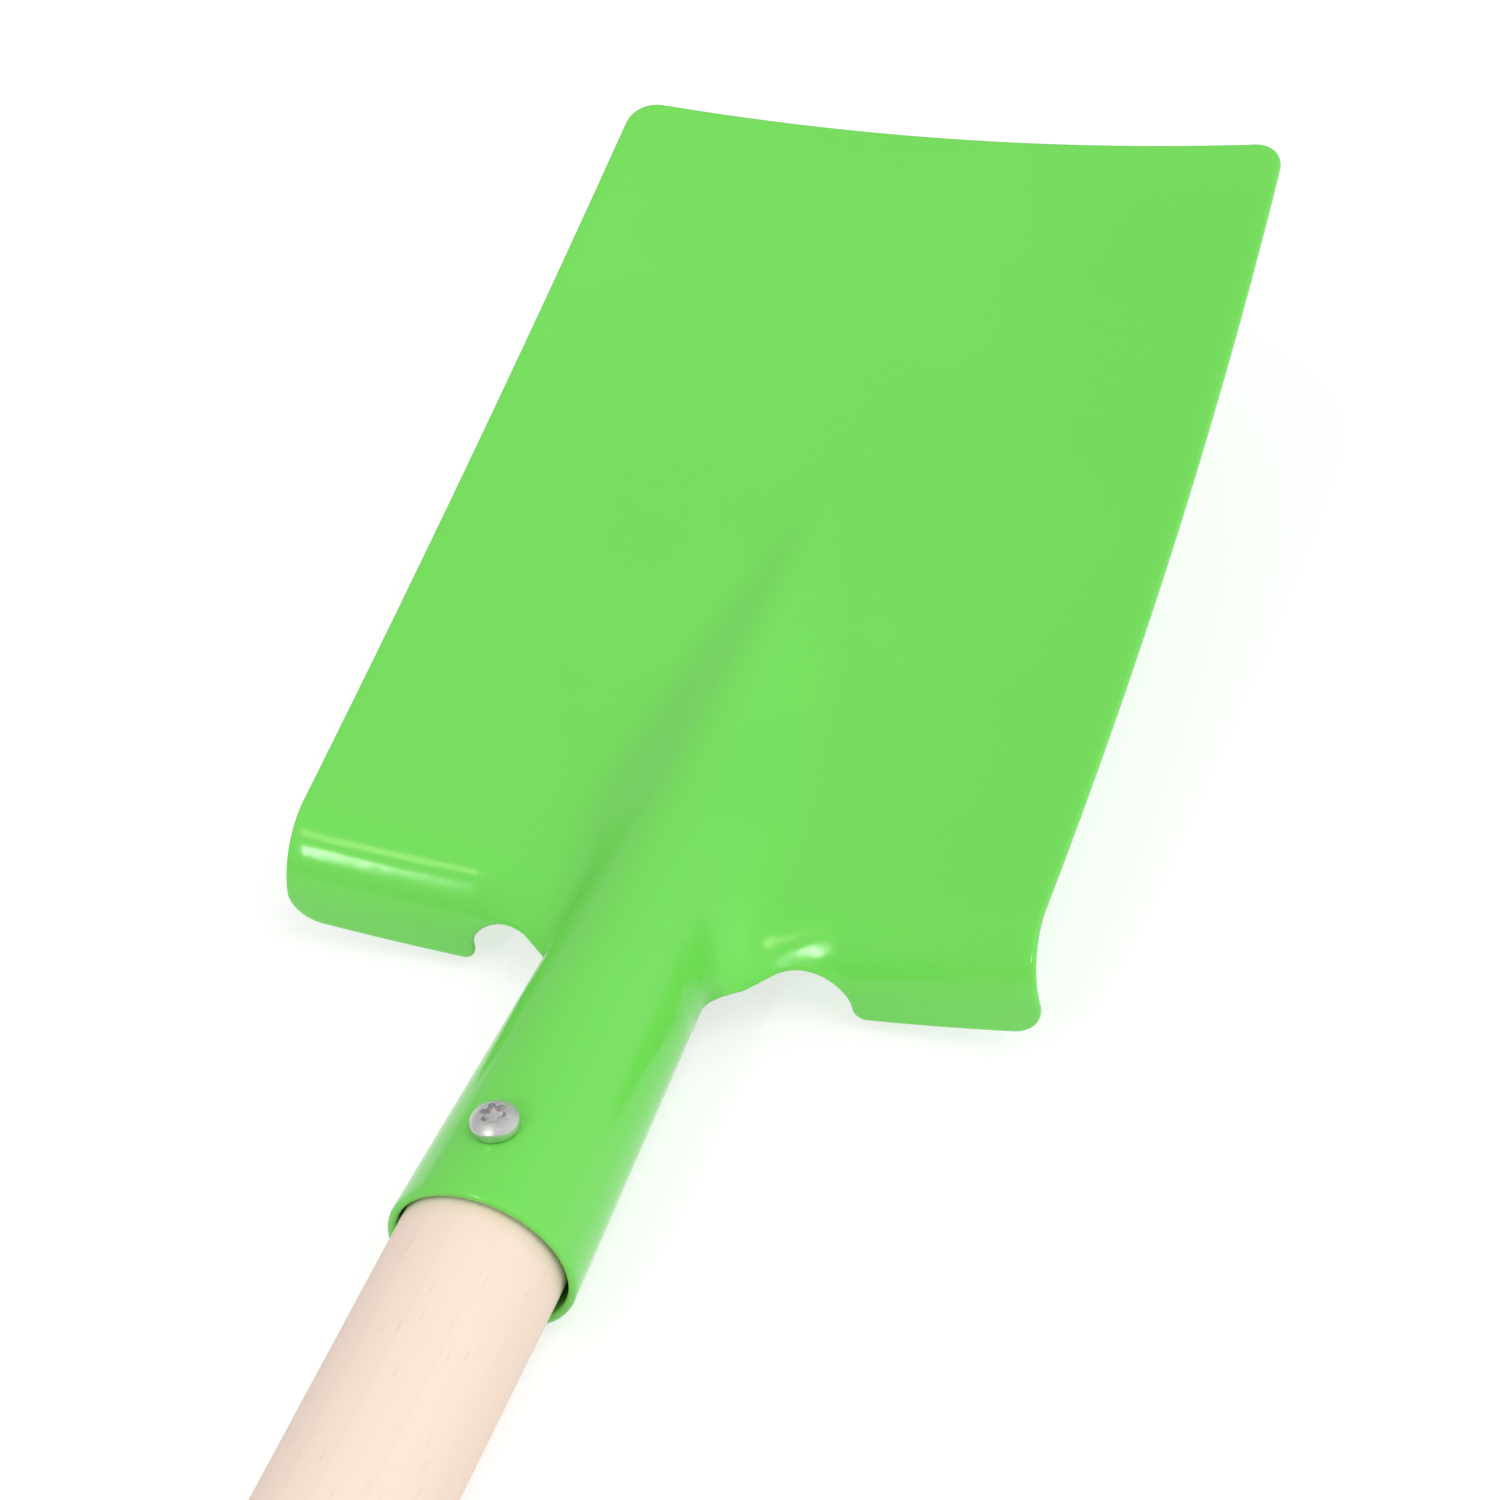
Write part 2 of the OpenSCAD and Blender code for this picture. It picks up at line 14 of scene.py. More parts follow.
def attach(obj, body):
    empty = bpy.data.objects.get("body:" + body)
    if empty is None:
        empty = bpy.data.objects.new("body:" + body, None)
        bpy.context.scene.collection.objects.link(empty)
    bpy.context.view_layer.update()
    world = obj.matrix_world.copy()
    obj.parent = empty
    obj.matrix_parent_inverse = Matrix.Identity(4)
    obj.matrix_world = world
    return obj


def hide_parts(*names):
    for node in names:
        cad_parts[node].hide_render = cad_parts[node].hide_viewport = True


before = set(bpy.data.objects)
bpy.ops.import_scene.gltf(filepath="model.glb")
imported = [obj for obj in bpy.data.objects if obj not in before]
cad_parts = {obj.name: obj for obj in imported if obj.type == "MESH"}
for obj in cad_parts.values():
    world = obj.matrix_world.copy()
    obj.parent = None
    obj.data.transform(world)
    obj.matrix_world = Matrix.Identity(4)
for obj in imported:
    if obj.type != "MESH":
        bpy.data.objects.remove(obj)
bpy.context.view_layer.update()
print("nodes:", sorted(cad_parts))

# %% [markdown]
# ## Where things are
# A shovel is easiest to shape in its own frame: millimetres, the fold of the treads at y = 0, the
# tip toward +Y and the blade's face toward +Z. The finished shovel lies on its socket's mouth and
# its grip, so one matrix turns each piece to that rest and changes millimetres to metres.

# %% From the blade's frame to the floor
REST_TILT = math.radians(10.3793)
REST_SHIFT = Vector((0.0, 165.451, 21.598))
MM = 0.001
TO_REST = Matrix.Scale(MM, 4) @ Matrix.Translation(REST_SHIFT) @ Matrix.Rotation(REST_TILT, 4, "X")
SOCKET_LEAN = 10.4
SOCKET_DROP = 7.9
GRIP_STATION = 477.645


def on_axis(station):
    """Frame that stands on the socket's axis at a station, +Z toward the grip."""
    lean = Matrix.Rotation(math.radians(90 - SOCKET_LEAN), 4, "X")
    return Matrix.Translation((0, 0, -SOCKET_DROP)) @ lean @ Matrix.Translation((0, 0, station))


print("grip centre at", [round(v, 4) for v in (TO_REST @ on_axis(GRIP_STATION)).translation])

# %% [markdown]
# ## Putting a finished mesh in the scene
# Each piece is shaped as a bmesh in millimetres. It then gets its place in its mesh, so its object
# stays at the origin. It gets its finish, and the solid it stands for is hidden.

# %% Helpers that turn a bmesh into an object, and into a piece
def add_object(name, bm):
    mesh = bpy.data.meshes.new(name)
    bm.to_mesh(mesh)
    bm.free()
    thing = bpy.data.objects.new(name, mesh)
    bpy.context.scene.collection.objects.link(thing)
    return thing


def finish_piece(name, bm, material, node, place=Matrix.Identity(4)):
    bmesh.ops.transform(bm, matrix=TO_REST @ place, verts=bm.verts)
    for face in bm.faces:
        face.smooth = True
    piece = add_object(name, bm)
    piece.data.materials.append(material)
    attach(piece, "root")
    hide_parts(node)
    print(name, "has", len(piece.data.polygons), "faces")
    return piece


print("mesh helpers ready")

# %% [markdown]
# ## The camera
# The camera was fitted to the photograph's outlines, so it is given by its place, its turn and
# its focal length, with nothing shifted.

# %% Camera at the photograph's view
PHOTO_PX = 1500
FOCAL_PX = 3784.54
SENSOR_MM = 36.0
CAMERA_PLACE = Vector((208.107, -266.713, 429.421))
CAMERA_RIGHT = Vector((0.925624, 0.309171, -0.218252))
CAMERA_DOWN = Vector((0.122071, -0.789797, -0.601098))
CAMERA_AHEAD = Vector((-0.358216, 0.529749, -0.768796))

camera_data = bpy.data.cameras.new("photo_camera")
camera_data.sensor_width = SENSOR_MM
camera_data.lens = FOCAL_PX / PHOTO_PX * SENSOR_MM
camera_data.clip_start = 0.01
camera_data.clip_end = 20.0
camera = bpy.data.objects.new("photo_camera", camera_data)
axes = Matrix((CAMERA_RIGHT, -CAMERA_DOWN, -CAMERA_AHEAD)).transposed().to_4x4()
turn = (Matrix.Rotation(REST_TILT, 4, "X") @ axes).to_quaternion().to_matrix().to_4x4()
camera.matrix_world = Matrix.Translation(TO_REST @ CAMERA_PLACE) @ turn
bpy.context.scene.collection.objects.link(camera)
bpy.context.scene.camera = camera
print("camera at", [round(v, 3) for v in camera.location], "lens", round(camera_data.lens, 2))

# %% [markdown]
# ## Helpers for materials
# A finish is a small tree of nodes. These helpers add a node, set its sockets and link it, so
# each material below reads from left to right.

# %% Node helpers
def empty_material(name):
    material = bpy.data.materials.new(name)
    material.use_nodes = True
    tree = material.node_tree
    tree.nodes.clear()
    return material, tree, tree.nodes.new("ShaderNodeOutputMaterial")


def new_material(name):
    material, tree, output = empty_material(name)
    shader = tree.nodes.new("ShaderNodeBsdfPrincipled")
    tree.links.new(shader.outputs[0], output.inputs[0])
    return material, tree, shader


def add_node(tree, kind, inputs=None, **settings):
    node = tree.nodes.new("ShaderNode" + kind)
    for key, value in settings.items():
        setattr(node, key, value)
    for key, value in (inputs or {}).items():
        if isinstance(value, bpy.types.NodeSocket):
            tree.links.new(value, node.inputs[key])
        else:
            node.inputs[key].default_value = value
    return node


def ramp(tree, factor, stops):
    node = add_node(tree, "ValToRGB", {"Fac": factor})
    elements = node.color_ramp.elements
    while len(elements) < len(stops):
        elements.new(0.5)
    for element, (position, colour) in zip(elements, stops):
        element.position = position
        element.color = (*colour, 1.0)
    return node.outputs[0]


def grey(value):
    return (value, value, value)


def object_space(tree, turn=(0, 0, 0), place=(0, 0, 0)):
    coordinates = add_node(tree, "TexCoord")
    mapping = add_node(tree, "Mapping", {
        "Vector": coordinates.outputs["Object"], "Location": place, "Rotation": turn})
    return mapping.outputs[0]


print("node helpers ready")

# %% [markdown]
# ## Green powder coat
# Powder coat is a plastic film baked on the steel: glossy, the same colour everywhere, and with
# the fine waviness of orange peel that a sprayed film keeps. Its colour drifts very slightly with
# the thickness of the film. A fine noise bump gives the peel, a broad noise the drift, and a
# third one varies how glossy the film is.

# %% The coat's material
COAT_LIGHT = (0.165, 0.716, 0.094)
COAT_DEEP = (0.160, 0.702, 0.091)


def make_green_coat():
    material, tree, shader = new_material("green_coat")
    space = object_space(tree)
    drift = add_node(tree, "TexNoise", {"Vector": space, "Scale": 22.0, "Detail": 3.0})
    colour = ramp(tree, drift.outputs[0], [(0.35, COAT_DEEP), (0.62, COAT_LIGHT)])
    tree.links.new(colour, shader.inputs["Base Color"])
    peel = add_node(tree, "TexNoise", {"Vector": space, "Scale": 430.0, "Detail": 1.0})
    bump = add_node(tree, "Bump", {"Height": peel.outputs[0], "Strength": 0.07, "Distance": 0.0004})
    tree.links.new(bump.outputs[0], shader.inputs["Normal"])
    smear = add_node(tree, "TexNoise", {"Vector": space, "Scale": 55.0, "Detail": 4.0})
    rough = add_node(tree, "MapRange", {
        "Value": smear.outputs[0], "From Min": 0.3, "From Max": 0.7, "To Min": 0.13, "To Max": 0.19})
    tree.links.new(rough.outputs[0], shader.inputs["Roughness"])
    shader.inputs["IOR"].default_value = 1.5
    return material


green_coat = make_green_coat()
print("coat:", green_coat.name)

# %% [markdown]
# ## Beech
# Beech is pale and slightly pink, with fine straight grain, faint growth rings and many small
# brown flecks, each a millimetre or two long. The texture is solid, as in the real wood, so the
# rings show as stripes along a rod and as arcs on its sawn ends. The grain runs along the
# texture's Z, and a mapping node lays that along each piece.

# %% The wood's material
BEECH_PALE = (0.925, 0.748, 0.648)
BEECH_PINK = (0.910, 0.722, 0.610)
BEECH_RING = (0.880, 0.680, 0.560)
BEECH_FLECK = (0.660, 0.450, 0.320)


def make_beech(name, turn, place):
    material, tree, shader = new_material(name)
    space = object_space(tree, turn=turn, place=place)
    squeeze = add_node(tree, "Mapping", {"Vector": space, "Scale": (1.0, 1.0, 0.05)})
    broad = add_node(tree, "TexNoise", {"Vector": squeeze.outputs[0], "Scale": 60.0, "Detail": 3.0})
    body = ramp(tree, broad.outputs[0], [(0.35, BEECH_PINK), (0.65, BEECH_PALE)])
    rings = add_node(tree, "TexWave", {
        "Vector": squeeze.outputs[0], "Scale": 62.0, "Distortion": 3.0, "Detail": 3.0,
        "Detail Scale": 0.6}, wave_type="RINGS", rings_direction="Z", wave_profile="SAW")
    ring_line = ramp(tree, rings.outputs["Fac"], [
        (0.0, grey(0.0)), (0.75, grey(0.04)), (0.95, grey(0.30)), (1.0, grey(0.0))])
    ringed = add_node(tree, "Mix", {
        "Factor": ring_line, "A": body, "B": (*BEECH_RING, 1.0)}, data_type="RGBA")
    needle = add_node(tree, "Mapping", {"Vector": space, "Scale": (1.0, 1.0, 0.11)})
    flecks = add_node(tree, "TexVoronoi", {
        "Vector": needle.outputs[0], "Scale": 1150.0, "Randomness": 1.0}, feature="F1")
    dots = ramp(tree, flecks.outputs["Distance"], [
        (0.0, grey(0.30)), (0.14, grey(0.12)), (0.22, grey(0.0))])
    final = add_node(tree, "Mix", {
        "Factor": dots, "A": ringed.outputs["Result"], "B": (*BEECH_FLECK, 1.0)}, data_type="RGBA")
    tree.links.new(final.outputs["Result"], shader.inputs["Base Color"])
    fibre = add_node(tree, "TexNoise", {"Vector": squeeze.outputs[0], "Scale": 1800.0, "Detail": 3.0})
    bump = add_node(tree, "Bump", {"Height": fibre.outputs[0], "Strength": 0.25, "Distance": 0.0001})
    tree.links.new(bump.outputs[0], shader.inputs["Normal"])
    rough = add_node(tree, "MapRange", {
        "Value": fibre.outputs[0], "From Min": 0.3, "From Max": 0.7, "To Min": 0.52, "To Max": 0.68})
    tree.links.new(rough.outputs[0], shader.inputs["Roughness"])
    return material


RIGHT_ANGLE = math.pi / 2
shaft_beech = make_beech("beech_shaft", (RIGHT_ANGLE, 0, 0), (0.031, 0.012, 0))
grip_beech = make_beech("beech_grip", (0, RIGHT_ANGLE, 0), (0.022, 0.35, 0))
print("wood:", shaft_beech.name, grip_beech.name)

# %% [markdown]
# ## Zinc-plated steel
# The screws are cold-headed steel with a thin bright zinc layer. It is a metal with soft, not
# mirror-like, reflections, uneven from handling.

# %% The screws' material
ZINC = (0.790, 0.775, 0.785)
DULL_SHARE = 0.86


def make_zinc():
    material, tree, shader = new_material("zinc_steel")
    space = object_space(tree)
    cloud = add_node(tree, "TexNoise", {"Vector": space, "Scale": 900.0, "Detail": 4.0})
    colour = ramp(tree, cloud.outputs[0], [(0.3, tuple(DULL_SHARE * v for v in ZINC)), (0.7, ZINC)])
    tree.links.new(colour, shader.inputs["Base Color"])
    rough = add_node(tree, "MapRange", {
        "Value": cloud.outputs[0], "From Min": 0.3, "From Max": 0.7, "To Min": 0.36, "To Max": 0.48})
    tree.links.new(rough.outputs[0], shader.inputs["Roughness"])
    grit = add_node(tree, "TexNoise", {"Vector": space, "Scale": 4000.0, "Detail": 2.0})
    bump = add_node(tree, "Bump", {"Height": grit.outputs[0], "Strength": 0.12, "Distance": 0.0001})
    tree.links.new(bump.outputs[0], shader.inputs["Normal"])
    shader.inputs["Metallic"].default_value = 1.0
    return material


zinc_steel = make_zinc()
print("steel:", zinc_steel.name)

# %% [markdown]
# ## The pressed head: its sizes
# The head is one sheet, 1.2 mm thick. These are the sizes that the press gives it, in
# millimetres. They are the solid model's, apart from two that follow the photograph's shading:
# the ridge's sides are a little straighter, with an even band of shade along them, and the bend's
# radius changes more softly beside the tab.

# %% Sizes of the head
BLADE_LEN = 161.0
BLADE_W = 117.4
TIP_W = 114.6
SIDE_BOW = 1.2
DISH_ROOT = 6.0
DISH_TIP = 4.1
BLADE_DIP = 3.3
SHEET = 1.2
TIP_CORNER_R = 5.0
TREAD_DROP = 14.6
TREAD_LEAN = 10.7
BEND_R = 11.2
NOTCH_BEND_R = 17.7
BEND_BLEND = 6.0
TREAD_CORNER_R = 5.0
NOTCH_CORNER_R = 1.5
NOTCH_W = 12.2
NOTCH_MID = 23.5
NOTCH_REACH = 12.3
SHOULDER_R = 7.5
RIDGE_LEN = 82.0
HOLLOW_R = 16.0
ROOT_HOLLOW_R = 11.0
ROOT_FADE = 16.0
FLANK_W = 14.0
FLANK_START = -4.0
FLANK_FULL = 26.0
SOCKET_LEN = 62.9
ROOT_R = 11.5
MOUTH_R = 13.85
SEAM_START = 20.0
SEAM_W = 0.8
EDGE_WAIST = 5.5
TAB_ROW_POWER = 1.2
TAB_LEAD = 0.2
FAN_SHARE = 0.6
RIM = 0.45

SLOPE_AT_FOLD = 4 * BLADE_DIP / BLADE_LEN
FOLD_TURN = math.radians(90 - TREAD_LEAN) + math.atan(SLOPE_AT_FOLD)
FOLD_TANGENT = BEND_R * math.tan(FOLD_TURN / 2)
BEND_ARC = BEND_R * FOLD_TURN
RIDGE_H = ROOT_R - SOCKET_DROP + DISH_ROOT
print("the bend starts", round(FOLD_TANGENT, 2), "mm from the fold line")

# %% [markdown]
# ## The pressed head: its form
# A press tool is described by what it does to the flat sheet. Across the sheet it makes an arc
# over the ridge, a straight flank, a hollow, and then the shallow dish. Along the sheet it
# follows the line of the side edge: nearly straight along the blade, then round the bend and
# down the tread.

# %% Lines along the blade
def blend(a, b, t):
    return a + (b - a) * t


def smooth(t):
    return t * t * (3 - 2 * t)


def clamp(value, low, high):
    return max(low, min(high, value))


def along(y):
    return clamp(y / BLADE_LEN, 0, 1)


def half_width(y):
    t = along(y)
    return blend(BLADE_W, TIP_W, t) / 2 + SIDE_BOW * 4 * t * (1 - t)


def dish(y):
    return blend(DISH_ROOT, DISH_TIP, along(y))


def sag(y):
    t = y / BLADE_LEN
    return -BLADE_DIP * 4 * t * (1 - t)


def corner_loss(distance, radius):
    """What a rounded corner takes off the side, at a distance from the corner's other edge."""
    if distance >= radius:
        return 0.0
    return radius - math.sqrt(max(radius ** 2 - (radius - distance) ** 2, 0))


START_TILT = math.atan(SLOPE_AT_FOLD * (1 - 2 * FOLD_TANGENT / BLADE_LEN))


def side_line(v, radius=BEND_R):
    """(y, z) of the side edge's line, v along it from the start of the bend toward the tip."""
    if v >= 0:
        return FOLD_TANGENT + v, sag(FOLD_TANGENT + v)
    angle = START_TILT - min(-v / radius, FOLD_TURN)
    rest = max(-v - radius * FOLD_TURN, 0)
    centre_y = FOLD_TANGENT - radius * math.sin(START_TILT)
    centre_z = sag(FOLD_TANGENT) - radius * math.cos(START_TILT)
    y = centre_y + radius * math.sin(angle) - rest * math.cos(angle)
    z = centre_z + radius * math.cos(angle) + rest * math.sin(angle)
    return y, z


print("tread's lower edge at", [round(v, 2) for v in side_line(-BEND_ARC - TREAD_DROP + FOLD_TANGENT)])

# %% Sections across the sheet
COS_LEAN = math.cos(math.radians(SOCKET_LEAN))
SIN_LEAN = math.sin(math.radians(SOCKET_LEAN))


def socket_r(station):
    return blend(ROOT_R, MOUTH_R, station / SOCKET_LEN)


def ridge_r(y):
    return socket_r(-y / COS_LEAN)


def ridge_rise(y, z):
    if y <= 0:
        crest = ridge_r(y) - SOCKET_DROP - y * SIN_LEAN / COS_LEAN
    else:
        crest = sag(y) - dish(y) + RIDGE_H * max(1 - y / RIDGE_LEN, 0)
    return max(crest - (z - dish(y)), 0)


def hollow_r(y):
    return blend(ROOT_HOLLOW_R, HOLLOW_R, smooth(clamp(y / ROOT_FADE, 0, 1)))


def flank_w(y):
    """Width of the straight part of the ridge's side."""
    share = smooth(clamp((y - FLANK_START) / (FLANK_FULL - FLANK_START), 0, 1))
    return FLANK_W * share * clamp(1 - y / RIDGE_LEN, 0, 1)


def ridge_turn(y, z):
    round_part = ridge_r(y) + hollow_r(y)
    both = math.hypot(round_part, flank_w(y))
    lean = math.atan2(flank_w(y), round_part)
    return math.acos(clamp((round_part - ridge_rise(y, z)) / both, -1, 1)) - lean


def section(s, r, turn, hollow, flank=0.0):
    """(x, depth) at the distance s across: an arc of radius r through turn, a straight flank, a
    hollow, and the flat sheet."""
    a = min(s / r, turn)
    x = r * math.sin(a)
    depth = r * (1 - math.cos(a))
    down = clamp(s - r * turn, 0, flank)
    x += down * math.cos(turn)
    depth += down * math.sin(turn)
    rest = s - r * turn - flank
    if rest > 0:
        b = min(rest / hollow, turn)
        x += hollow * (math.sin(turn) - math.sin(turn - b)) + max(rest - hollow * turn, 0)
        depth += hollow * (math.cos(turn - b) - math.cos(turn))
    return x, depth


def section_reach(x, r, turn, hollow, flank=0.0):
    """Distance across the section at which it reaches x."""
    x_arc = r * math.sin(turn)
    x_flank = x_arc + flank * math.cos(turn)
    x_hollow = x_flank + hollow * math.sin(turn)
    if x <= x_arc:
        return r * math.asin(x / r)
    if x <= x_flank:
        return r * turn + (x - x_arc) / math.cos(turn)
    if x >= x_hollow:
        return (r + hollow) * turn + flank + x - x_hollow
    left = math.asin(clamp(math.sin(turn) - (x - x_flank) / hollow, -1, 1))
    return r * turn + flank + hollow * (turn - left)


def face_at_s(s, line):
    y, z = line
    turn = ridge_turn(y, z)
    x, depth = section(s, ridge_r(y), turn, hollow_r(y), flank_w(y))
    bowl = dish(y) * (x / half_width(y)) ** 2
    return Vector((x, y, z - dish(y) + ridge_rise(y, z) - depth + bowl))


def face_at_x(x, line):
    y, z = line
    point = face_at_s(section_reach(x, ridge_r(y), ridge_turn(y, z), hollow_r(y), flank_w(y)), line)
    width = half_width(y)
    fan = 2 * DISH_ROOT / width * (x / width) * FAN_SHARE
    point.x += fan * max(sag(max(y, 0)) - z, 0)
    return point


print("ridge turns", round(math.degrees(ridge_turn(*side_line(0))), 1), "degrees at the bend")

# %% [markdown]
# ## The pressed head: the blank
# A press shop cuts a flat blank first. The blank here is a grid whose columns are counted from the
# centre line and whose rows are counted from the tip, with two notches cut out beside the socket.
# Every edge is cut short by the radius of its rounding, which is added after the forming.

# %% Columns and rows of the blank
TAB_COLS = 26
NOTCH_COLS = 16
TREAD_COLS = 14
TIP_ROWS = 8
BLADE_ROWS = 44
BEND_ROWS = 26
END_ROWS = 22
TUBE_ROWS = 24
SIDE_COLS = TAB_COLS + NOTCH_COLS + TREAD_COLS
FOLD_ROW = TIP_ROWS + BLADE_ROWS + BEND_ROWS
SEAM_ROW = FOLD_ROW + END_ROWS
LAST_ROW = SEAM_ROW + TUBE_ROWS
NOTCH_HALF = NOTCH_W / 2 + RIM
NOTCH_IN = NOTCH_MID - NOTCH_HALF
NOTCH_TOP = NOTCH_REACH - RIM
TIP_R = TIP_CORNER_R - RIM
SHOULDER_DROP = SHOULDER_R - math.sqrt(SHOULDER_R ** 2 - NOTCH_HALF ** 2)


def notch_half(v):
    """Half width of the notch's round outer side at a distance round the bend."""
    left = max(NOTCH_TOP + NOTCH_HALF - v, 0)
    return math.sqrt(NOTCH_HALF ** 2 - left ** 2)


def notch_x(k):
    half = NOTCH_HALF if k < TAB_COLS + NOTCH_COLS / 2 else notch_half(BEND_ARC)
    return NOTCH_MID - half * math.cos(math.pi * (k - TAB_COLS) / NOTCH_COLS)


def notch_edge(k):
    """How far round the bend the sheet reaches in a column."""
    if k <= TAB_COLS:
        return NOTCH_TOP + SHOULDER_DROP
    if k >= TAB_COLS + NOTCH_COLS:
        return BEND_ARC
    dx = notch_x(k) - NOTCH_MID
    if dx < 0:
        return NOTCH_TOP + SHOULDER_R - math.sqrt(SHOULDER_R ** 2 - dx ** 2)
    return NOTCH_TOP + NOTCH_HALF - math.sqrt(NOTCH_HALF ** 2 - dx ** 2)


def bend_r(x):
    """The sheet bends less sharply beside the socket than across the treads."""
    return blend(NOTCH_BEND_R, BEND_R, smooth(clamp(0.5 + (x - NOTCH_MID) / (2 * BEND_BLEND), 0, 1)))


def blade_row(j):
    reach = BLADE_LEN - RIM - FOLD_TANGENT
    if j <= TIP_ROWS:
        return reach - TIP_R * (1 - math.cos(math.pi / 2 * j / TIP_ROWS))
    return (reach - TIP_R) * (1 - (j - TIP_ROWS) / BLADE_ROWS)


print("the blank has", 2 * SIDE_COLS, "columns and", LAST_ROW, "rows")

# %% Where the press puts each corner of the grid
def blade_face(j, k):
    bend = max(j - TIP_ROWS - BLADE_ROWS, 0) / BEND_ROWS
    x = notch_x(clamp(k, TAB_COLS, TAB_COLS + NOTCH_COLS))
    line = side_line(-bend * notch_edge(k) if bend else blade_row(j), bend_r(x))
    y, z = line
    if k <= TAB_COLS:
        reach = section_reach(NOTCH_IN, ridge_r(y), ridge_turn(y, z), hollow_r(y), flank_w(y))
        return face_at_s(reach * k / TAB_COLS, line)
    side = half_width(y) - RIM - corner_loss(BLADE_LEN - RIM - y, TIP_R)
    return face_at_x(blend(x, side, max(k - TAB_COLS - NOTCH_COLS, 0) / TREAD_COLS), line)


TREAD_FLAT = TREAD_DROP - FOLD_TANGENT - RIM
TREAD_R = TREAD_CORNER_R - RIM
FIRST_ANGLE = math.acos(clamp(1 - TREAD_FLAT / TREAD_R, -1, 1))


def tread_face(j, k):
    left = TREAD_R * (1 - math.cos(FIRST_ANGLE * (1 - (j - FOLD_ROW) / END_ROWS)))
    v = BEND_ARC + TREAD_FLAT - left
    line = side_line(-v)
    inner = NOTCH_MID + notch_half(v) + corner_loss(left, NOTCH_CORNER_R)
    outer = half_width(0) - RIM - corner_loss(left, TREAD_R)
    return face_at_x(blend(inner, outer, (k - TAB_COLS - NOTCH_COLS) / TREAD_COLS), line)


TAB_LINE = side_line(-NOTCH_TOP - SHOULDER_DROP, NOTCH_BEND_R)
TAB_TURN = ridge_turn(*TAB_LINE)
TAB_EDGE = section_reach(NOTCH_IN, ridge_r(TAB_LINE[0]), TAB_TURN, ROOT_HOLLOW_R)
TAB_STATION = -TAB_LINE[0] / COS_LEAN


def tab_face(j, k):
    """The tab rolls round behind the fold until it closes into the socket."""
    t = min((j - FOLD_ROW) / END_ROWS, 1) ** TAB_ROW_POWER
    station = blend(TAB_STATION, SEAM_START, t)
    if j > SEAM_ROW:
        station = blend(SEAM_START, SOCKET_LEN - RIM, (j - SEAM_ROW) / TUBE_ROWS)
    tilt = math.radians(SOCKET_LEAN) * smooth(t)
    r = socket_r(station)
    closed = math.pi * r - SEAM_W / 2 - RIM
    edge = blend(TAB_EDGE, closed, smooth(t)) - EDGE_WAIST * math.sin(math.pi * t)
    turn = blend(TAB_TURN, math.pi, smooth(t) + TAB_LEAD * t * (1 - t) ** 2)
    x, depth = section(edge * k / TAB_COLS, r, turn, ROOT_HOLLOW_R)
    up = r - depth
    return Vector((x, up * math.sin(tilt) - station * COS_LEAN,
                   up * math.cos(tilt) + station * SIN_LEAN - SOCKET_DROP))


def formed(j, k):
    if j <= FOLD_ROW:
        return blade_face(j, k)
    if k <= TAB_COLS:
        return tab_face(j, k)
    return tread_face(j, k)


print("socket's mouth at", [round(v, 1) for v in formed(LAST_ROW, 0)])

# %% [markdown]
# ## The pressed head: forming and rounding
# The grid is cut, each corner moves to its place, and the second half mirrors the first. Sheet
# can't crease, so the place where the tab leaves the bend is evened out. The edges of real
# pressed sheet are never sharp under powder coat, so the rim is rolled from the face round to the
# back in short steps, each an extrusion of the open edge. A copy of the face, turned over and set
# one thickness back, closes it.

# %% Cut and form the blank
def formed_or_scrap(j, k):
    """Corners that only the scrap between the pieces uses may land anywhere."""
    if j > SEAM_ROW:
        return tab_face(j, min(k, TAB_COLS))
    if j > FOLD_ROW and TAB_COLS < k < TAB_COLS + NOTCH_COLS:
        return tab_face(j, TAB_COLS)
    return formed(j, k)


def cut_blank():
    bm = bmesh.new()
    bmesh.ops.create_grid(bm, x_segments=2 * SIDE_COLS, y_segments=LAST_ROW, size=1.0)
    row_of = {}
    column_of = {}
    for vert in bm.verts:
        column_of[vert] = round(vert.co.x * SIDE_COLS)
        row_of[vert] = round((1 - vert.co.y) / 2 * LAST_ROW)
    scrap = []
    for face in bm.faces:
        j = min(row_of[vert] for vert in face.verts)
        k = min(abs(column_of[vert]) for vert in face.verts)
        beyond_treads = j >= SEAM_ROW and k >= TAB_COLS
        if beyond_treads or (j >= FOLD_ROW and TAB_COLS <= k < TAB_COLS + NOTCH_COLS):
            scrap.append(face)
    for vert in bm.verts:
        k = column_of[vert]
        vert.co = formed_or_scrap(row_of[vert], abs(k))
        if k < 0:
            vert.co.x = -vert.co.x
    bmesh.ops.delete(bm, geom=scrap, context="FACES")
    bmesh.ops.recalc_face_normals(bm, faces=bm.faces)
    return bm


def point_up(bm):
    """Turns the sheet over if its face looks down."""
    up = sum((face.normal.z * face.calc_area() for face in bm.faces), 0.0)
    if up < 0:
        bmesh.ops.reverse_faces(bm, faces=bm.faces)


head_bm = cut_blank()
point_up(head_bm)
print("blank:", len(head_bm.faces), "faces")

# %% Even out the sheet where the tab leaves the bend
TAB_CORNER = Vector((16.0, -4.0, -8.0))
RELAX_STEPS = 14
RELAX_REACH = 12.0
EDGE_STEPS = 10
EDGE_REACH = 4.5


def from_corner(vert):
    """Distance from the place where the tab leaves the bend, on either side."""
    return (Vector((abs(vert.co.x), vert.co.y, vert.co.z)) - TAB_CORNER).length


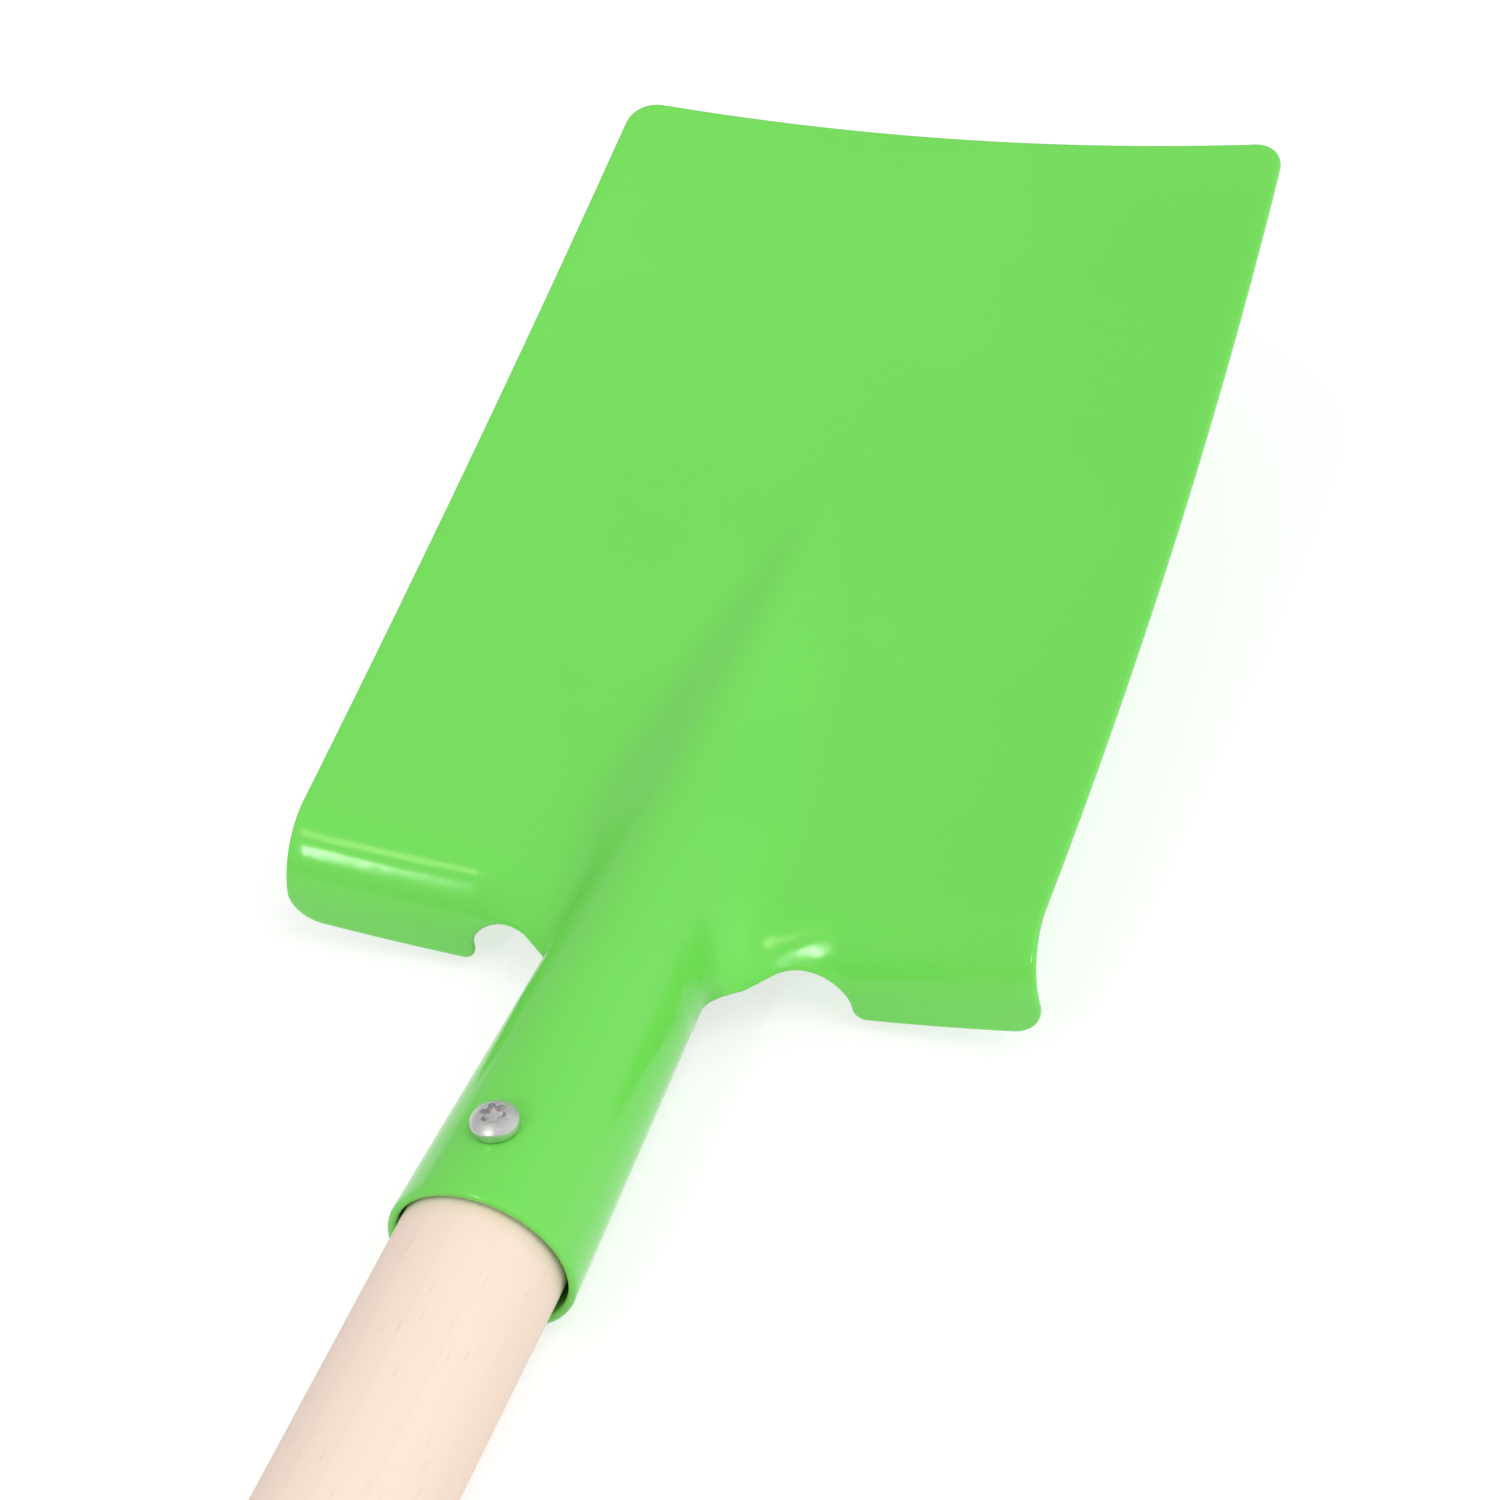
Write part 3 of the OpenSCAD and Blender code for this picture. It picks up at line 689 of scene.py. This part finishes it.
def even_edge(bm):
    """Rounds the open edge's corner where the tab leaves the bend."""
    corner = [vert for vert in bm.verts if vert.is_boundary and from_corner(vert) < EDGE_REACH]
    for step in range(EDGE_STEPS):
        middles = []
        for vert in corner:
            beside = [edge.other_vert(vert).co for edge in vert.link_edges if edge.is_boundary]
            middles.append((beside[0] + beside[1]) / 2)
        for vert, middle in zip(corner, middles):
            vert.co = vert.co.lerp(middle, 0.5)
    return corner


def relax_bend(bm):
    """Evens out the sheet inside its edge, where the tab leaves the bend."""
    near = []
    for vert in bm.verts:
        held = vert.is_boundary or any(edge.other_vert(vert).is_boundary for edge in vert.link_edges)
        if not held and from_corner(vert) < RELAX_REACH:
            near.append(vert)
    for step in range(RELAX_STEPS):
        bmesh.ops.smooth_vert(bm, verts=near, factor=0.5, use_axis_x=True, use_axis_y=True, use_axis_z=True)


relax_bend(head_bm)
print("evened", len(even_edge(head_bm)), "points of the edge")

# %% Round the rim and close the back
RIM_STEPS = 6
RIM_FULLNESS = 0.7
RIM_WELD = 0.002


def outward(vert):
    """Direction that leaves the sheet at a vertex of its open edge, in the sheet's own plane."""
    rim = [edge for edge in vert.link_edges if edge.is_boundary]
    ahead = Vector((0, 0, 0))
    for edge in rim:
        face = edge.link_faces[0]
        loop = next(loop for loop in face.loops if loop.edge == edge)
        ahead += (loop.link_loop_next.vert.co - loop.vert.co).normalized()
    return ahead.cross(vert.normal).normalized()


def thicken(bm):
    """Adds the back of the sheet and rolls the rim from the face round to it."""
    bm.normal_update()
    back = bmesh.ops.duplicate(bm, geom=bm.verts[:] + bm.edges[:] + bm.faces[:])
    back_faces = [item for item in back["geom"] if isinstance(item, bmesh.types.BMFace)]
    back_verts = [item for item in back["geom"] if isinstance(item, bmesh.types.BMVert)]
    behind = set(back_verts)
    front_rim = [edge for edge in bm.edges if edge.is_boundary and edge.verts[0] not in behind]
    start = {}
    for edge in front_rim:
        for vert in edge.verts:
            start[vert] = (vert.co.copy(), vert.normal.copy(), outward(vert))
    for vert in back_verts:
        vert.co = vert.co - SHEET * vert.normal
    bmesh.ops.reverse_faces(bm, faces=back_faces)
    edges = front_rim
    for step in range(1, RIM_STEPS + 1):
        angle = math.pi * step / RIM_STEPS
        out = RIM * math.sin(angle) ** RIM_FULLNESS if step < RIM_STEPS else 0.0
        down = SHEET / 2 * (1 - math.cos(angle))
        grown = bmesh.ops.extrude_edge_only(bm, edges=edges)["geom"]
        edges = [item for item in grown if isinstance(item, bmesh.types.BMEdge)]
        moved = {}
        for vert in (item for item in grown if isinstance(item, bmesh.types.BMVert)):
            below = [edge.other_vert(vert) for edge in vert.link_edges if edge.other_vert(vert) in start]
            moved[vert] = start[below[0]]
        for vert, (place, normal, side) in moved.items():
            vert.co = place + side * out - normal * down
        start = moved
        edges = [edge for edge in edges if edge.verts[0] in moved and edge.verts[1] in moved]
    bmesh.ops.remove_doubles(bm, verts=bm.verts, dist=RIM_WELD)


thicken(head_bm)
open_edges = [edge for edge in head_bm.edges if not edge.is_manifold]
print("head:", len(head_bm.faces), "faces,", len(open_edges), "open edges")
finish_piece("pressed_head", head_bm, green_coat, "blade_head")

# %% [markdown]
# ## The handle
# The handle is a beech rod, turned to a taper where it goes into the socket and to a neck where
# it goes into the grip, with eased corners where each taper ends. Turning is a spin of the
# outline about the rod's axis.

# %% Turning helpers
TURN_STEPS = 128
TURN_WELD = 0.0005


def spun(outline):
    """Solid of revolution about Z from (radius, height) pairs that start and end on the axis."""
    bm = bmesh.new()
    verts = [bm.verts.new((radius, 0, height)) for radius, height in outline]
    edges = [bm.edges.new(pair) for pair in zip(verts, verts[1:])]
    bmesh.ops.spin(bm, geom=verts + edges, cent=(0, 0, 0), axis=(0, 0, 1), dvec=(0, 0, 0),
                   angle=2 * math.pi, steps=TURN_STEPS, use_merge=True, use_duplicate=False)
    bmesh.ops.remove_doubles(bm, verts=bm.verts, dist=TURN_WELD)
    bmesh.ops.recalc_face_normals(bm, faces=bm.faces)
    return bm


def round_corner(centre, radius, start, end, steps=6):
    """Points of an arc in the outline, by angle in degrees from the outward direction."""
    points = []
    for step in range(steps + 1):
        angle = math.radians(blend(start, end, step / steps))
        points.append((centre[0] + radius * math.cos(angle), centre[1] + radius * math.sin(angle)))
    return points


print("turning helpers ready")

# %% The handle
SHAFT_R = 12.0
SHAFT_START = 23.0
SHAFT_GAP = 0.4
SHAFT_SHIFT = 0.28
EDGE_R = 1.0
NECK_R = 9.5
NECK_LEN = 45.0
GRIP_R = 14.0
NECK_START = GRIP_STATION - GRIP_R
BORE_DEPTH = 16.0
TAPER_EASE = 0.02
TAPER_EASE_LEN = 1.0
NECK_EASE = 0.06
NECK_EASE_FIRST = 3.0
NECK_EASE_LAST = 2.0
TAPER_RATE = (MOUTH_R - ROOT_R) / SOCKET_LEN
TAPER_R = socket_r(SHAFT_START) - SHEET - SHAFT_GAP
TAPER_END = SHAFT_START + (SHAFT_R - TAPER_R) / TAPER_RATE

shaft_outline = [(0, SHAFT_START), (TAPER_R - EDGE_R, SHAFT_START), (TAPER_R, SHAFT_START + EDGE_R)]
shaft_outline += [(SHAFT_R - TAPER_EASE, TAPER_END - TAPER_EASE_LEN), (SHAFT_R, TAPER_END + TAPER_EASE_LEN)]
shaft_outline += [(SHAFT_R, NECK_START - NECK_LEN - NECK_EASE_FIRST)]
shaft_outline += [(SHAFT_R - NECK_EASE, NECK_START - NECK_LEN)]
shaft_outline += [(NECK_R + NECK_EASE, NECK_START - NECK_EASE_LAST), (NECK_R, NECK_START)]
shaft_outline += [(NECK_R, NECK_START + BORE_DEPTH), (0, NECK_START + BORE_DEPTH)]
aside = Matrix.Translation((-SHAFT_SHIFT, 0, 0)) @ on_axis(0)
finish_piece("beech_shaft", spun(shaft_outline), shaft_beech, "shaft", aside)

# %% [markdown]
# ## The cross grip
# The grip is a turned bar with rounded ends. A blind bore takes the handle's neck, and a
# countersunk hole on the far side takes the screw. They are cut with a boolean from turned
# cutters, as a drill would cut them, and a narrow bevel breaks their edges.

# %% The grip bar
GRIP_HALF = 55.0
GRIP_END_R = 5.0
GRIP_END_STEPS = 10
GRIP_RINGS = range(-45, 46, 15)
NECK_GAP = 0.1
SCREW_GAP = 0.2
GRIP_SCREW_R = 2.0
GRIP_HEAD_R = 4.0
GRIP_EDGE_H = 0.5
GRIP_CONE_H = 2.0
GRIP_SINK = 0.6
CUT_SPARE = 3.0
SOFT_EDGE = 0.25
SOFT_ANGLE = 40.0

corner_r = GRIP_R - GRIP_END_R
corner_level = GRIP_HALF - GRIP_END_R
bar_outline = [(0, -GRIP_HALF)]
bar_outline += round_corner((corner_r, -corner_level), GRIP_END_R, -90, 0, GRIP_END_STEPS)
bar_outline += [(GRIP_R, height) for height in GRIP_RINGS]
bar_outline += round_corner((corner_r, corner_level), GRIP_END_R, 0, 90, GRIP_END_STEPS)
bar_outline += [(0, GRIP_HALF)]
across = on_axis(GRIP_STATION) @ Matrix.Rotation(RIGHT_ANGLE, 4, "Y")
grip = finish_piece("beech_grip", spun(bar_outline), grip_beech, "grip_bar", across)


def drill(piece, outline, place):
    """Cuts a turned shape out of a piece, and applies the cut."""
    cutter_bm = spun(outline)
    bmesh.ops.transform(cutter_bm, matrix=TO_REST @ place, verts=cutter_bm.verts)
    cutter = add_object("cutter", cutter_bm)
    cut = piece.modifiers.new("cut", "BOOLEAN")
    cut.operation = "DIFFERENCE"
    cut.object = cutter
    cut.solver = "EXACT"
    bpy.context.view_layer.update()
    evaluated = piece.evaluated_get(bpy.context.evaluated_depsgraph_get())
    result = bpy.data.meshes.new_from_object(evaluated)
    piece.modifiers.remove(cut)
    piece.data = result
    bpy.data.objects.remove(cutter)


bore_r = NECK_R + NECK_GAP
bore = [(0, -CUT_SPARE), (bore_r, -CUT_SPARE), (bore_r, BORE_DEPTH), (0, BORE_DEPTH)]
drill(grip, bore, Matrix.Translation((-SHAFT_SHIFT, 0, 0)) @ on_axis(NECK_START))
sink_r = GRIP_HEAD_R + SCREW_GAP
shank_r = GRIP_SCREW_R + SCREW_GAP
head_level = -GRIP_SINK - GRIP_EDGE_H - SCREW_GAP
hole_end = BORE_DEPTH - 2 * GRIP_R - CUT_SPARE
hole = [(0, hole_end), (shank_r, hole_end), (shank_r, head_level - GRIP_CONE_H), (sink_r, head_level)]
hole += [(sink_r, CUT_SPARE), (0, CUT_SPARE)]
drill(grip, hole, on_axis(GRIP_STATION + GRIP_R))
soften = grip.modifiers.new("soften", "BEVEL")
soften.width = SOFT_EDGE * MM
soften.segments = 2
soften.limit_method = "ANGLE"
soften.angle_limit = math.radians(SOFT_ANGLE)
print("grip after drilling:", len(grip.data.polygons), "faces")

# %% [markdown]
# ## The screws
# Both screws are cold-headed, with a six-lobed recess. The pan head is turned from its outline
# with the recess left open, and the recess is a lobed ring that sinks to a floor.

# %% A screw's head with its recess
RECESS_R = 1.9
RECESS_DEPTH = 1.6
LOBE_IN_R = 1.28
LOBE_FULLNESS = 0.8
LOBE_STEPS = 120


def lobed_radius(angle):
    """Outline of the six-lobed recess: wide round lobes with narrower round ridges between."""
    wave = 0.5 + 0.5 * math.cos(6 * angle)
    return blend(LOBE_IN_R, RECESS_R, smooth(wave) ** LOBE_FULLNESS)


def screw_head(rings, floor_level):
    """Head with a lobed recess. rings are (radius, height) from the recess's edge outward."""
    bm = bmesh.new()
    made = bmesh.ops.create_circle(bm, cap_ends=True, radius=1.0, segments=LOBE_STEPS)
    loop = made["verts"]
    angles = {vert: math.atan2(vert.co.y, vert.co.x) for vert in loop}

    def place(radius_of, level):
        for vert in loop:
            a = angles[vert]
            radius = radius_of(a)
            vert.co = Vector((radius * math.cos(a), radius * math.sin(a), level))

    def grow(radius_of, level):
        nonlocal loop, rim
        grown = bmesh.ops.extrude_edge_only(bm, edges=rim)["geom"]
        new = [item for item in grown if isinstance(item, bmesh.types.BMVert)]
        old = set(loop)
        for vert in new:
            partner = next(e.other_vert(vert) for e in vert.link_edges if e.other_vert(vert) in old)
            angles[vert] = angles[partner]
        fresh = set(new)
        rim = [item for item in grown if isinstance(item, bmesh.types.BMEdge)
               and item.verts[0] in fresh and item.verts[1] in fresh]
        loop = new
        place(radius_of, level)

    rim = bm.edges[:]
    place(lambda a: lobed_radius(a) * 0.90, floor_level)
    edge_level = rings[0][1]
    wall = [(0.94, floor_level + 0.12), (1.0, edge_level - 0.18), (1.02, edge_level - 0.06),
            (1.07, edge_level)]
    for share, level in wall:
        grow(lambda a, share=share: lobed_radius(a) * share, level)
    for radius, level in rings[1:]:
        grow(lambda a, radius=radius: radius, level)
    bmesh.ops.contextual_create(bm, geom=rim)
    bmesh.ops.recalc_face_normals(bm, faces=bm.faces)
    return bm


print("screw helpers ready")

# %% The pan-head screw in the socket
SCREW_STATION = 50.9
SCREW_R = 1.75
SCREW_LEN = 16.0
PAN_R = 3.45
PAN_H = 3.0
PAN_RIM_H = 1.5
PAN_EDGE_R = 0.45
PAN_EDGE_DROP = 0.22
PAN_RINGS = (2.15, 2.4, 2.65, 2.9, 3.1)
FOOT_R = 0.25
FOOT_MID = 0.08
POINT_R = 0.3
PAN_POINT_LEN = 4.2
SEAT_GAP = 0.1


def dome(radius):
    """Height of the pan head's top above its seat at a radius."""
    rise = PAN_H - PAN_RIM_H
    ball = (PAN_R ** 2 + rise ** 2) / (2 * rise)
    return PAN_H - ball + math.sqrt(ball ** 2 - radius ** 2)


pan_rings = [(RECESS_R, dome(RECESS_R))]
pan_rings += [(radius, dome(radius)) for radius in PAN_RINGS]
pan_rings += round_corner((PAN_R - PAN_EDGE_R, PAN_RIM_H - PAN_EDGE_DROP), PAN_EDGE_R, 62, 0)
pan_rings += [(PAN_R, FOOT_R), (PAN_R - FOOT_MID, FOOT_MID), (PAN_R - FOOT_R, 0.0), (SCREW_R, 0.0)]
pan_rings += [(SCREW_R, -SCREW_LEN + PAN_POINT_LEN), (POINT_R, -SCREW_LEN)]
wall_tilt = math.atan(TAPER_RATE)
seat = Matrix.Rotation(-RIGHT_ANGLE - wall_tilt, 4, "X")
lift = Matrix.Translation((0, 0, (socket_r(SCREW_STATION) + SEAT_GAP) * math.cos(wall_tilt)))
finish_piece("pan_screw", screw_head(pan_rings, PAN_H - RECESS_DEPTH), zinc_steel, "socket_screw",
             on_axis(SCREW_STATION) @ seat @ lift)

# %% The flat-head screw in the grip
GRIP_SCREW_LEN = 40.0
GRIP_POINT_LEN = 4.8

flat_rings = [(RECESS_R, 0.0), (2.2, 0.0), (3.0, 0.0), (3.6, 0.0), (3.85, -0.04), (GRIP_HEAD_R, -0.15)]
flat_rings += [(GRIP_HEAD_R, -GRIP_EDGE_H), (GRIP_SCREW_R, -GRIP_EDGE_H - GRIP_CONE_H)]
flat_rings += [(GRIP_SCREW_R, -GRIP_SCREW_LEN + GRIP_POINT_LEN), (POINT_R, -GRIP_SCREW_LEN)]
finish_piece("flat_screw", screw_head(flat_rings, -RECESS_DEPTH), zinc_steel, "grip_screw",
             on_axis(GRIP_STATION + GRIP_R - GRIP_SINK))

# %% [markdown]
# ## Floor and light
# The photograph has a pure white ground and very even light, as in a light tent. A white floor
# throws light back up under the blade. The camera and the reflections see it a little brighter
# than it is lit, so it is white and still keeps the soft shadow. The sky is a plain pale tent,
# brighter on the right and darker low down behind the grip, where a tent is open. One broad lamp
# high on the right brings the blade to its plain level, and two small ones behind the grip, the
# dimmer one a little warm, draw the thin bright lines on the bend.

# %% Floor
FLOOR_HALF = 12.0
FLOOR_LEVEL = 0.88
SEEN_LEVEL = 0.40
SEEN_GLOW = 0.68


def make_floor():
    bm = bmesh.new()
    bmesh.ops.create_grid(bm, x_segments=1, y_segments=1, size=FLOOR_HALF)
    floor = add_object("floor", bm)
    material, tree, output = empty_material("floor_white")
    path = add_node(tree, "LightPath").outputs
    mirrored = add_node(tree, "Math", {
        0: path["Is Glossy Ray"], 1: path["Is Transmission Ray"]}, operation="MAXIMUM")
    seen = add_node(tree, "Math", {
        0: path["Is Camera Ray"], 1: mirrored.outputs[0]}, operation="MAXIMUM")
    shade = add_node(tree, "MapRange", {
        "Value": seen.outputs[0], "To Min": FLOOR_LEVEL, "To Max": SEEN_LEVEL})
    diffuse = add_node(tree, "BsdfDiffuse", {"Color": shade.outputs[0]})
    glow_level = add_node(tree, "Math", {0: seen.outputs[0], 1: SEEN_GLOW}, operation="MULTIPLY")
    glow = add_node(tree, "Emission", {"Strength": glow_level.outputs[0]})
    both = add_node(tree, "AddShader", {0: diffuse.outputs[0], 1: glow.outputs[0]})
    tree.links.new(both.outputs[0], output.inputs[0])
    floor.data.materials.append(material)


make_floor()
print("floor is", 2 * FLOOR_HALF, "m wide")

# %% Sky and lamps
SKY_LEVEL = 0.57
RIGHT_LEVEL = 0.90
OPENING_LEVEL = 0.32
WARM = (1.0, 0.96, 0.62)

world = bpy.data.worlds.new("light_tent")
bpy.context.scene.world = world
world.use_nodes = True
tent = world.node_tree
towards = add_node(tent, "SeparateXYZ", {0: add_node(tent, "TexCoord").outputs["Generated"]})
low = ramp(tent, towards.outputs["Z"], [(0.20, grey(1.0)), (0.42, grey(0.0))])
toward_grip = add_node(tent, "Math", {0: towards.outputs["Y"], 1: -1.0}, operation="MULTIPLY")
beyond_grip = ramp(tent, toward_grip.outputs[0], [(0.45, grey(0.0)), (0.80, grey(1.0))])
dark = add_node(tent, "Math", {0: low, 1: beyond_grip}, operation="MULTIPLY")
right = ramp(tent, towards.outputs["X"], [(0.20, grey(0.0)), (0.80, grey(1.0))])
sky = add_node(tent, "MapRange", {"Value": right, "To Min": SKY_LEVEL, "To Max": RIGHT_LEVEL})
level = add_node(tent, "Mix", {"Factor": dark.outputs[0], "A": sky.outputs[0], "B": OPENING_LEVEL})
tent.nodes["Background"].inputs["Color"].default_value = (1, 1, 1, 1)
tent.links.new(level.outputs[0], tent.nodes["Background"].inputs["Strength"])


def lamp(name, direction, distance, size, radiance, roll=0.0):
    """A soft lamp of a given brightness, aimed at the fold and rolled about its own axis."""
    data = bpy.data.lights.new(name, "AREA")
    data.shape = "RECTANGLE"
    data.size = size[0]
    data.size_y = size[1]
    data.energy = radiance * math.pi * size[0] * size[1]
    target = TO_REST @ Vector((0, 0, 0))
    unit = Vector(direction).normalized()
    light = bpy.data.objects.new(name, data)
    light.location = target + unit * distance
    aim = unit.to_track_quat("Z", "Y") @ Quaternion((0, 0, 1), math.radians(roll))
    light.rotation_euler = aim.to_euler()
    bpy.context.scene.collection.objects.link(light)
    return light


lamp("line_lamp", (-0.163, -0.782, 0.602), distance=3.0, size=(0.24, 0.80), radiance=23.0, roll=16.0)
dim = lamp("dim_lamp", (-0.19, -0.42, 0.87), distance=3.0, size=(0.60, 0.45), radiance=4.4)
dim.data.color = WARM
key = lamp("key_lamp", (0.48, -0.14, 0.86), distance=6.0, size=(3.2, 3.2), radiance=3.60)
key.visible_glossy = False

# %% [markdown]
# ## Last settings
# The Standard view shows a colour as it is written.

# %% View
bpy.context.scene.view_settings.view_transform = "Standard"
